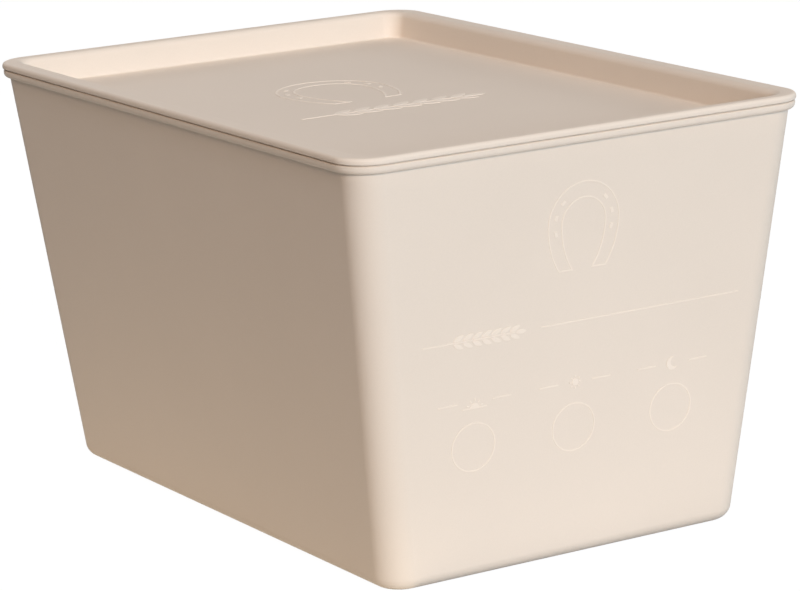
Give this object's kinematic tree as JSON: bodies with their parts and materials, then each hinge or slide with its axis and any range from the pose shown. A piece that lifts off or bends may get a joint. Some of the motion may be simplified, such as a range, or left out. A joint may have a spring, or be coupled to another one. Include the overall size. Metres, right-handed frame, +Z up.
{
  "type": "horse feed bin",
  "caption": "Tapered moulded feed bin with a rounded rim bead, a drop-on tray lid it can be stacked by, a writing line and feeding-time tick circles on its front wall.",
  "frame": {"origin": "on the floor under the middle of the bin, lid on", "axes": "+Z up; the wall with the marks faces -Y; the long side runs along Y; +X is to the right of someone who looks at that wall"},
  "size_m": [0.265, 0.377, 0.22],
  "materials": {
    "bin_plastic": "warm sand-beige moulded plastic, finely textured and matte",
    "lid_plastic": "the same sand-beige moulded plastic, finely textured and matte"
  },
  "bodies": {
    "bin": {"bin": "bin_plastic"},
    "lid": {"lid": "lid_plastic"}
  },
  "joints": [
    {"name": "lid_lift", "type": "slide", "parent": "bin", "child": "lid", "axis": [0, 0, 1], "range_m": [0, 0.3]}
  ]
}
